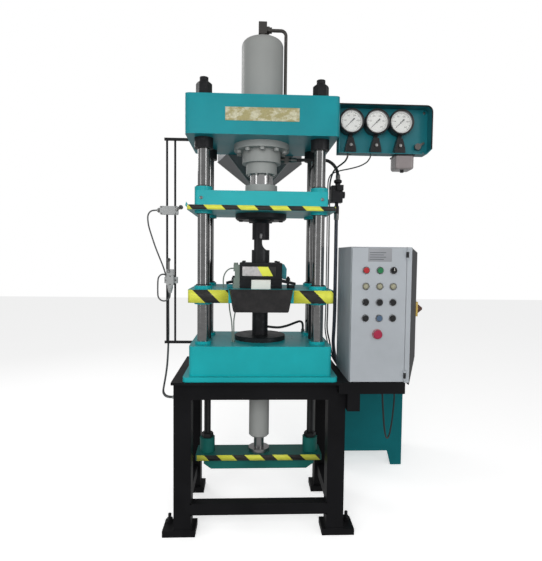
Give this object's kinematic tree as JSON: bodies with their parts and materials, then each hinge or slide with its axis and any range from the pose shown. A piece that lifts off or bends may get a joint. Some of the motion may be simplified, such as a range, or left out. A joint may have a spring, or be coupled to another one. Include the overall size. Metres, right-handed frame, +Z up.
{
  "type": "hydraulic press",
  "caption": "Four-column hydraulic press on a welded stand, with a ram, a moving die platen, a gauge panel, a control cabinet and a separate oil tank and pump.",
  "frame": {"origin": "on the floor, straight below the axis of the ram; the stand reaches further back than forward of it", "axes": "X to the operator's right, Y to the back (the operator stands at -Y), Z up along the ram"},
  "size_m": [1.4515, 1.1713, 2.421],
  "materials": {
    "teal_paint": "satin",
    "panel_paint": "satin",
    "tank_paint": "satin",
    "black_paint": "satin",
    "black_steel": "blackened",
    "grey_paint": "satin",
    "cabinet_paint": "fine texture",
    "dark_grey_paint": "satin",
    "chrome": "polished",
    "steel": "brushed",
    "white_plastic": "matt",
    "black_rubber": "matt",
    "grey_sheath": "matt",
    "smoky_plastic": "clear",
    "black_plastic": "gloss",
    "red_plastic": "gloss",
    "green_plastic": "gloss",
    "blue_plastic": "gloss",
    "switch_lever": "satin"
  },
  "bodies": {
    "press_frame": {"stand_frame": "black_paint", "bed": "teal_paint", "columns": "chrome", "column_nuts": "black_steel", "crown": "teal_paint", "main_cylinder": "grey_paint", "cylinder_gland": "grey_paint", "lower_pedestal": "black_steel", "powder_hopper": "steel", "lower_cylinder": "grey_paint", "cabinet": "cabinet_paint", "cabinet_duct": "dark_grey_paint", "gauge_panel": "panel_paint", "gauge_cases": "black_plastic", "filter_bowl": "smoky_plastic", "steel_pipes": "steel", "hydraulic_hoses": "black_rubber", "pressure_hose": "black_rubber", "flow_valve": "black_steel", "limit_rail": "black_steel", "limit_switches": "grey_paint", "upper_switch_lead": "grey_sheath", "lower_switch_lead": "grey_sheath", "motor_lead": "black_rubber", "oil_tank": "tank_paint", "pump_set": "dark_grey_paint"},
    "ram": {"main_ram": "chrome", "ram_collar": "grey_paint", "upper_platen": "teal_paint", "ram_bushes": "steel", "punch_adaptor": "black_steel", "upper_punch": "black_steel"},
    "die_table": {"die_platen": "teal_paint", "die_bushes": "steel", "tie_rods": "black_steel", "lower_beam": "teal_paint", "lower_ram": "steel", "die_block": "black_steel", "chute_tray": "black_paint", "die_clamps": "black_steel", "air_valve": "black_steel"},
    "slide": {"slide_block": "white_plastic"},
    "door": {"cabinet_door": "cabinet_paint"},
    "stop_button": {"emergency_stop": "red_plastic"},
    "selector": {"mode_selector": "black_plastic"},
    "main_switch": {"main_switch_handle": "red_plastic"},
    "panel_valve": {"panel_lever": "steel"},
    "upper_switch_arm": {"upper_switch_lever": "switch_lever"},
    "lower_switch_arm": {"lower_switch_lever": "switch_lever"},
    "red_button_body": {"red_button": "red_plastic"},
    "green_button_body": {"green_button": "green_plastic"},
    "black_button_1_body": {"black_button_1": "black_plastic"},
    "black_button_2_body": {"black_button_2": "black_plastic"},
    "black_button_3_body": {"black_button_3": "black_plastic"},
    "black_button_4_body": {"black_button_4": "black_plastic"},
    "blue_button_body": {"blue_button": "blue_plastic"},
    "black_button_5_body": {"black_button_5": "black_plastic"},
    "needle_1": {"gauge_needle_1": "black_plastic"},
    "needle_2": {"gauge_needle_2": "black_plastic"},
    "needle_3": {"gauge_needle_3": "black_plastic"}
  },
  "joints": [
    {"name": "ram_slide", "type": "slide", "parent": "press_frame", "child": "ram", "axis": [0, 0, -1], "range_m": [-0.045, 0.12]},
    {"name": "die_table_slide", "type": "slide", "parent": "press_frame", "child": "die_table", "axis": [0, 0, 1], "range_m": [-0.06, 0.05]},
    {"name": "slide_block_slide", "type": "slide", "parent": "die_table", "child": "slide", "axis": [0, -1, 0], "range_m": [0, 0.05]},
    {"name": "door_hinge", "type": "hinge", "parent": "press_frame", "child": "door", "pos_m": [0.6515, -0.251, 1.042], "axis": [0, 0, 1], "range_deg": [0, 110]},
    {"name": "stop_push", "type": "slide", "parent": "door", "child": "stop_button", "axis": [0, 1, 0], "range_m": [0, 0.004], "stiffness_N_per_m": 1200},
    {"name": "selector_turn", "type": "hinge", "parent": "door", "child": "selector", "pos_m": [0.591, -0.245, 1.244], "axis": [0, 1, 0], "range_deg": [-45, 45]},
    {"name": "main_switch_turn", "type": "hinge", "parent": "press_frame", "child": "main_switch", "pos_m": [0.764, -0.055, 1.053], "axis": [1, 0, 0], "range_deg": [0, 90]},
    {"name": "panel_lever_turn", "type": "hinge", "parent": "press_frame", "child": "panel_valve", "pos_m": [0.732, -0.11, 1.824], "axis": [0, 1, 0], "range_deg": [-40, 60]},
    {"name": "upper_switch_turn", "type": "hinge", "parent": "press_frame", "child": "upper_switch_arm", "pos_m": [-0.396, -0.095, 1.514], "axis": [0, 1, 0], "range_deg": [-20, 20], "stiffness_Nm_per_rad": 0.3},
    {"name": "lower_switch_turn", "type": "hinge", "parent": "press_frame", "child": "lower_switch_arm", "pos_m": [-0.434, -0.097, 1.225], "axis": [0, 1, 0], "range_deg": [-20, 20], "stiffness_Nm_per_rad": 0.3},
    {"name": "red_button_push", "type": "slide", "parent": "door", "child": "red_button_body", "axis": [0, 1, 0], "range_m": [0, 0.004], "stiffness_N_per_m": 800},
    {"name": "green_button_push", "type": "slide", "parent": "door", "child": "green_button_body", "axis": [0, 1, 0], "range_m": [0, 0.004], "stiffness_N_per_m": 800},
    {"name": "black_button_1_push", "type": "slide", "parent": "door", "child": "black_button_1_body", "axis": [0, 1, 0], "range_m": [0, 0.004], "stiffness_N_per_m": 800},
    {"name": "black_button_2_push", "type": "slide", "parent": "door", "child": "black_button_2_body", "axis": [0, 1, 0], "range_m": [0, 0.004], "stiffness_N_per_m": 800},
    {"name": "black_button_3_push", "type": "slide", "parent": "door", "child": "black_button_3_body", "axis": [0, 1, 0], "range_m": [0, 0.004], "stiffness_N_per_m": 800},
    {"name": "black_button_4_push", "type": "slide", "parent": "door", "child": "black_button_4_body", "axis": [0, 1, 0], "range_m": [0, 0.004], "stiffness_N_per_m": 800},
    {"name": "blue_button_push", "type": "slide", "parent": "door", "child": "blue_button_body", "axis": [0, 1, 0], "range_m": [0, 0.004], "stiffness_N_per_m": 800},
    {"name": "black_button_5_push", "type": "slide", "parent": "door", "child": "black_button_5_body", "axis": [0, 1, 0], "range_m": [0, 0.004], "stiffness_N_per_m": 800},
    {"name": "needle_1_turn", "type": "hinge", "parent": "press_frame", "child": "needle_1", "pos_m": [0.41, -0.14, 1.927], "axis": [0, 1, 0], "range_deg": [0, 270], "stiffness_Nm_per_rad": 0.01},
    {"name": "needle_2_turn", "type": "hinge", "parent": "press_frame", "child": "needle_2", "pos_m": [0.529, -0.14, 1.927], "axis": [0, 1, 0], "range_deg": [0, 270], "stiffness_Nm_per_rad": 0.01},
    {"name": "needle_3_turn", "type": "hinge", "parent": "press_frame", "child": "needle_3", "pos_m": [0.642, -0.14, 1.927], "axis": [0, 1, 0], "range_deg": [0, 270], "stiffness_Nm_per_rad": 0.01}
  ]
}
